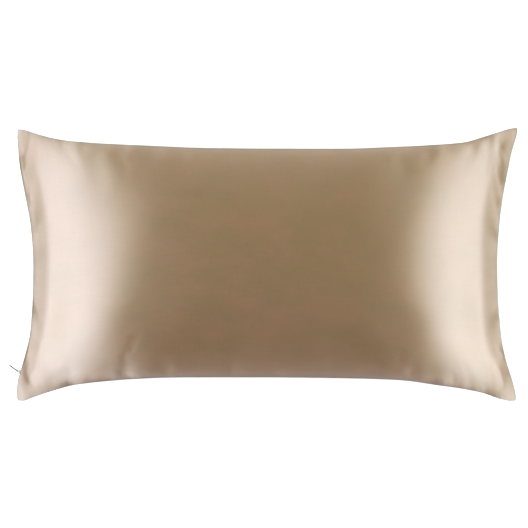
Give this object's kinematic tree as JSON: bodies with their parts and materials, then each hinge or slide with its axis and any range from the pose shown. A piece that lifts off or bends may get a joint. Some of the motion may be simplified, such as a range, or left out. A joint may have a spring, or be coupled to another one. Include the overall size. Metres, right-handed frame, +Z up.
{
  "type": "filled pillowcase",
  "caption": "Filled satin pillowcase lying on its back, with pointed corners, seams drawn in by the filling and a concealed zip along one end.",
  "frame": {"origin": "bottom centre of the part's box, on the surface that the pillow lies on", "axes": "+X along the long sides towards the closed end, with the zip at -X; +Y towards the head seam; +Z up through the front panel"},
  "size_m": [0.9159, 0.4948, 0.1804],
  "materials": {
    "satin": "caramel silk satin, high sheen",
    "nickel": "satin nickel"
  },
  "bodies": {
    "root": {"pillowcase": "satin", "zip_slider": "nickel", "zip_pull": "nickel"}
  },
  "joints": []
}
